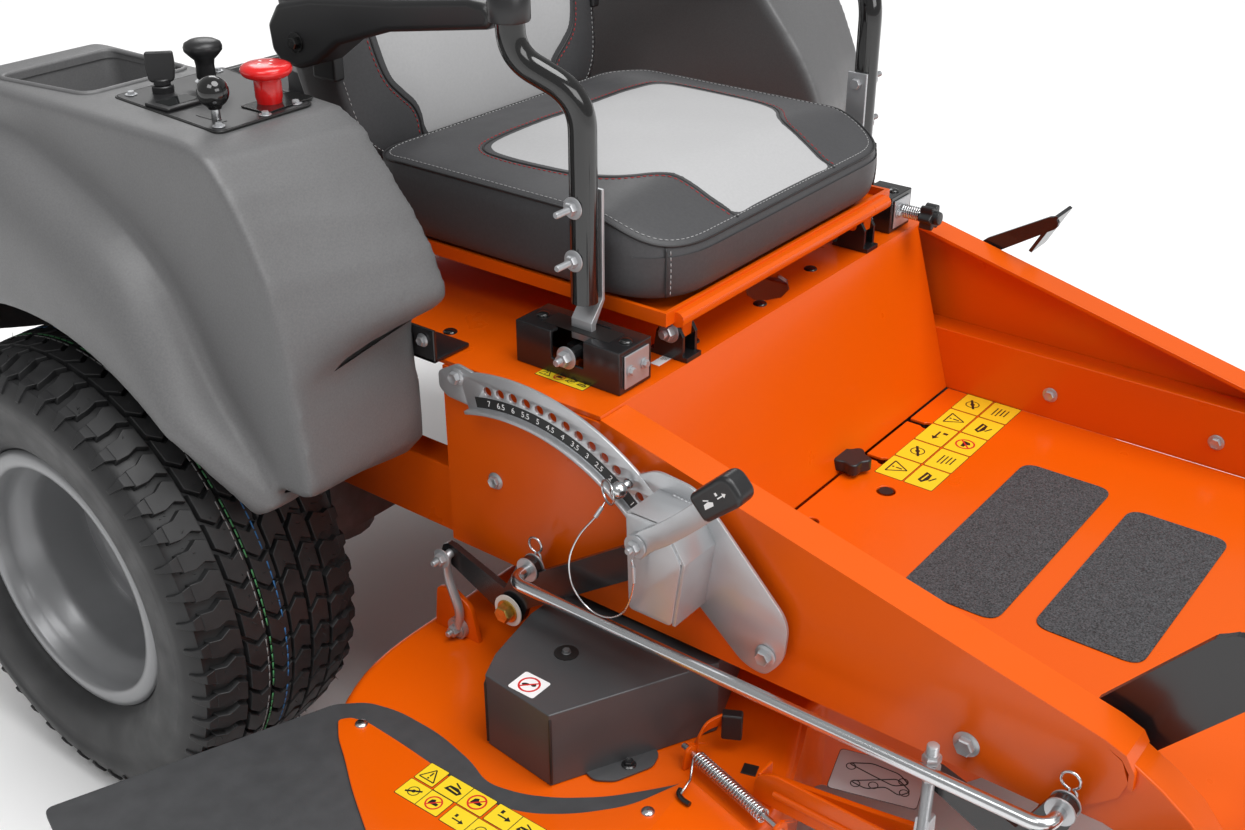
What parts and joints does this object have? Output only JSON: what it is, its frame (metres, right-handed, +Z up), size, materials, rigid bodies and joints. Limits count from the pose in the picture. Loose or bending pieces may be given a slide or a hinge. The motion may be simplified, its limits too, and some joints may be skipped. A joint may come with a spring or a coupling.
{
  "type": "zero turn mower",
  "caption": "Riding zero turn mower: box rail frame, wide floor plate, padded seat, two drive levers, moulded fenders, side discharge deck on a crank lift, large rear wheels and front casters.",
  "frame": {"origin": "middle of the base of the bounding box, on the ground", "axes": "+Z up, the machine drives towards -Y, its left hand side is +X"},
  "size_m": [1.611, 1.959, 1.1209],
  "materials": {
    "powder_orange": "gloss",
    "powder_black": "semi-gloss",
    "moulded_grey": "grained",
    "tyre_rubber": "matt",
    "rim_paint": "satin",
    "zinc": "zinc plated",
    "cast_alloy": "as cast",
    "vinyl": "grained vinyl",
    "cover_grey": "satin",
    "black_plastic": "satin",
    "red_plastic": "gloss",
    "flap_rubber": "matt",
    "engine_black": "satin"
  },
  "bodies": {
    "chassis": {"rail_right": "powder_orange", "rail_left": "powder_orange", "side_panel_right": "powder_orange", "side_panel_left": "powder_orange", "seat_platform": "powder_orange", "floor_plate": "powder_orange", "front_crossmember": "powder_orange", "rear_frame": "powder_black", "fender_right": "moulded_grey", "fender_left": "moulded_grey", "hydro_right": "cast_alloy", "hydro_left": "cast_alloy", "engine": "engine_black", "height_quadrant": "zinc", "lever_housing_right": "powder_black", "lever_housing_left": "powder_black", "seat_hinge_right": "powder_black", "seat_hinge_left": "powder_black", "pin_lanyard": "zinc"},
    "fuel_cap": {"fuel_cap": "black_plastic"},
    "ignition_key": {"ignition_key": "black_plastic"},
    "throttle_lever": {"throttle_lever": "black_plastic"},
    "choke_knob": {"choke_knob": "black_plastic"},
    "pto_switch": {"pto_switch": "red_plastic"},
    "height_pin": {"height_pin": "zinc"},
    "release_lever": {"release_lever": "zinc"},
    "park_brake_lever": {"park_brake_lever": "powder_black"},
    "seat": {"seat_pan": "powder_orange", "seat_cushion": "vinyl", "seat_backrest": "vinyl"},
    "armrest_right": {"armrest_right": "black_plastic"},
    "armrest_left": {"armrest_left": "black_plastic"},
    "rocker_right": {"lever_rocker_right": "powder_black"},
    "lever_right": {"lever_arm_right": "zinc", "lever_tube_right": "powder_black"},
    "rocker_left": {"lever_rocker_left": "powder_black"},
    "lever_left": {"lever_arm_left": "zinc", "lever_tube_left": "powder_black"},
    "rear_wheel_right": {"rear_tyre_right": "tyre_rubber", "rear_rim_right": "rim_paint"},
    "rear_wheel_left": {"rear_tyre_left": "tyre_rubber", "rear_rim_left": "rim_paint"},
    "caster_right": {"caster_fork_right": "powder_orange"},
    "front_wheel_right": {"front_wheel_right": "tyre_rubber"},
    "caster_left": {"caster_fork_left": "powder_orange"},
    "front_wheel_left": {"front_wheel_left": "tyre_rubber"},
    "lift_shaft_rear": {"lift_shaft_rear": "powder_black"},
    "lift_shaft_front": {"lift_shaft_front": "powder_black"},
    "lift_rod_right": {"lift_rod_right": "zinc"},
    "lift_rod_left": {"lift_rod_left": "zinc"},
    "hanger_rear": {"hanger_rear": "zinc"},
    "hanger_front": {"hanger_front": "zinc"},
    "deck": {"deck_shell": "powder_orange", "belt_cover_right": "cover_grey", "belt_cover_left": "cover_grey"},
    "chute": {"chute_deflector": "flap_rubber", "deflector_plate": "powder_orange"},
    "blade_right": {"blade_spindle_right": "zinc"},
    "blade_centre": {"blade_spindle_centre": "zinc"},
    "blade_left": {"blade_spindle_left": "zinc"}
  },
  "joints": [
    {"name": "fuel_cap_turn", "type": "hinge", "parent": "chassis", "child": "fuel_cap", "pos_m": [0.5795, 0.4405, 0.857], "axis": [0, 0, 1], "range_deg": [0, 100]},
    {"name": "key_turn", "type": "hinge", "parent": "chassis", "child": "ignition_key", "pos_m": [-0.3805, 0.3205, 0.862], "axis": [0, 0, 1], "range_deg": [-90, 0]},
    {"name": "throttle", "type": "hinge", "parent": "chassis", "child": "throttle_lever", "pos_m": [-0.4115, 0.1945, 0.824], "axis": [-1, 0, 0], "range_deg": [0, 28]},
    {"name": "choke", "type": "slide", "parent": "chassis", "child": "choke_knob", "axis": [0, 0, 1], "range_m": [0, 0.03]},
    {"name": "clutch_switch", "type": "slide", "parent": "chassis", "child": "pto_switch", "axis": [0, 0, 1], "range_m": [0, 0.01]},
    {"name": "height_pin_pull", "type": "slide", "parent": "chassis", "child": "height_pin", "axis": [-1, 0, 0], "range_m": [0, 0.025]},
    {"name": "transport_release", "type": "hinge", "parent": "chassis", "child": "release_lever", "pos_m": [-0.3465, -0.2895, 0.508], "axis": [-1, 0, 0], "range_deg": [0, 30]},
    {"name": "park_brake", "type": "hinge", "parent": "chassis", "child": "park_brake_lever", "pos_m": [0.4795, -0.1995, 0.48], "axis": [-1, 0, 0], "range_deg": [0, 35]},
    {"name": "seat_tilt", "type": "hinge", "parent": "chassis", "child": "seat", "pos_m": [0.0995, -0.1595, 0.615], "axis": [1, 0, 0], "range_deg": [0, 60]},
    {"name": "armrest_fold_right", "type": "hinge", "parent": "seat", "child": "armrest_right", "pos_m": [-0.1785, 0.3185, 0.874], "axis": [-1, 0, 0], "range_deg": [0, 80]},
    {"name": "armrest_fold_left", "type": "hinge", "parent": "seat", "child": "armrest_left", "pos_m": [0.3775, 0.3185, 0.874], "axis": [-1, 0, 0], "range_deg": [0, 80]},
    {"name": "drive_right", "type": "hinge", "parent": "chassis", "child": "rocker_right", "pos_m": [-0.1955, -0.1015, 0.607], "axis": [1, 0, 0], "range_deg": [-9, 9], "stiffness_Nm_per_rad": 200},
    {"name": "swing_out_right", "type": "hinge", "parent": "rocker_right", "child": "lever_right", "pos_m": [-0.1955, -0.1015, 0.607], "axis": [0, -1, 0], "range_deg": [0, 22]},
    {"name": "drive_left", "type": "hinge", "parent": "chassis", "child": "rocker_left", "pos_m": [0.3945, -0.1015, 0.607], "axis": [1, 0, 0], "range_deg": [-9, 9], "stiffness_Nm_per_rad": 200},
    {"name": "swing_out_left", "type": "hinge", "parent": "rocker_left", "child": "lever_left", "pos_m": [0.3945, -0.1015, 0.607], "axis": [0, 1, 0], "range_deg": [0, 22]},
    {"name": "rear_wheel_spin_right", "type": "hinge", "parent": "chassis", "child": "rear_wheel_right", "pos_m": [-0.467, 0.4005, 0.292], "axis": [1, 0, 0], "continuous": true},
    {"name": "rear_wheel_spin_left", "type": "hinge", "parent": "chassis", "child": "rear_wheel_left", "pos_m": [0.666, 0.4005, 0.292], "axis": [1, 0, 0], "continuous": true},
    {"name": "caster_swivel_right", "type": "hinge", "parent": "chassis", "child": "caster_right", "pos_m": [-0.3705, -0.8995, 0.3], "axis": [0, 0, 1], "continuous": true},
    {"name": "front_wheel_spin_right", "type": "hinge", "parent": "caster_right", "child": "front_wheel_right", "pos_m": [-0.3705, -0.8395, 0.14], "axis": [1, 0, 0], "continuous": true},
    {"name": "caster_swivel_left", "type": "hinge", "parent": "chassis", "child": "caster_left", "pos_m": [0.5695, -0.8995, 0.3], "axis": [0, 0, 1], "continuous": true},
    {"name": "front_wheel_spin_left", "type": "hinge", "parent": "caster_left", "child": "front_wheel_left", "pos_m": [0.5695, -0.8395, 0.14], "axis": [1, 0, 0], "continuous": true},
    {"name": "deck_lift", "type": "slide", "parent": "chassis", "child": "deck", "axis": [0, 0, -1], "range_m": [0, 0.084]},
    {"name": "lift_rear", "type": "hinge", "parent": "chassis", "child": "lift_shaft_rear", "pos_m": [0.0995, -0.0835, 0.32], "axis": [-1, 0, 0], "range_deg": [0, 50]},
    {"name": "lift_front", "type": "hinge", "parent": "chassis", "child": "lift_shaft_front", "pos_m": [0.0995, -0.6965, 0.32], "axis": [-1, 0, 0], "range_deg": [0, 50]},
    {"name": "rod_pivot_right", "type": "hinge", "parent": "lift_shaft_rear", "child": "lift_rod_right", "pos_m": [-0.3355, -0.1105, 0.384], "axis": [-1, 0, 0], "range_deg": [-50, 0]},
    {"name": "rod_pivot_left", "type": "hinge", "parent": "lift_shaft_rear", "child": "lift_rod_left", "pos_m": [0.5345, -0.1105, 0.384], "axis": [-1, 0, 0], "range_deg": [-50, 0]},
    {"name": "hanger_pivot_rear", "type": "hinge", "parent": "lift_shaft_rear", "child": "hanger_rear", "pos_m": [-0.3115, 0.0085, 0.357], "axis": [-1, 0, 0], "range_deg": [-50, 0]},
    {"name": "hanger_pivot_front", "type": "hinge", "parent": "lift_shaft_front", "child": "hanger_front", "pos_m": [-0.3115, -0.6045, 0.357], "axis": [-1, 0, 0], "range_deg": [-50, 0]},
    {"name": "chute_lift", "type": "hinge", "parent": "deck", "child": "chute", "pos_m": [-0.3085, -0.3385, 0.246], "axis": [0.3035, 0.9528, 0], "range_deg": [0, 55]},
    {"name": "blade_spin_centre", "type": "hinge", "parent": "deck", "child": "blade_centre", "pos_m": [0.0995, -0.3195, 0.2], "axis": [0, 0, 1], "continuous": true},
    {"name": "blade_spin_right", "type": "hinge", "parent": "deck", "child": "blade_right", "pos_m": [-0.3515, -0.1995, 0.2], "axis": [0, 0, 1], "continuous": true},
    {"name": "blade_spin_left", "type": "hinge", "parent": "deck", "child": "blade_left", "pos_m": [0.5505, -0.1995, 0.2], "axis": [0, 0, 1], "continuous": true}
  ],
  "couplings": [
    {"joint": "lift_rear", "follows": "deck_lift", "rad_per_m": 10.38},
    {"joint": "lift_front", "follows": "deck_lift", "rad_per_m": 10.38},
    {"joint": "rod_pivot_right", "follows": "deck_lift", "rad_per_m": -10.38},
    {"joint": "rod_pivot_left", "follows": "deck_lift", "rad_per_m": -10.38},
    {"joint": "hanger_pivot_rear", "follows": "deck_lift", "rad_per_m": -10.38},
    {"joint": "hanger_pivot_front", "follows": "deck_lift", "rad_per_m": -10.38},
    {"joint": "blade_spin_right", "follows": "blade_spin_centre", "ratio": 1},
    {"joint": "blade_spin_left", "follows": "blade_spin_centre", "ratio": 1}
  ]
}
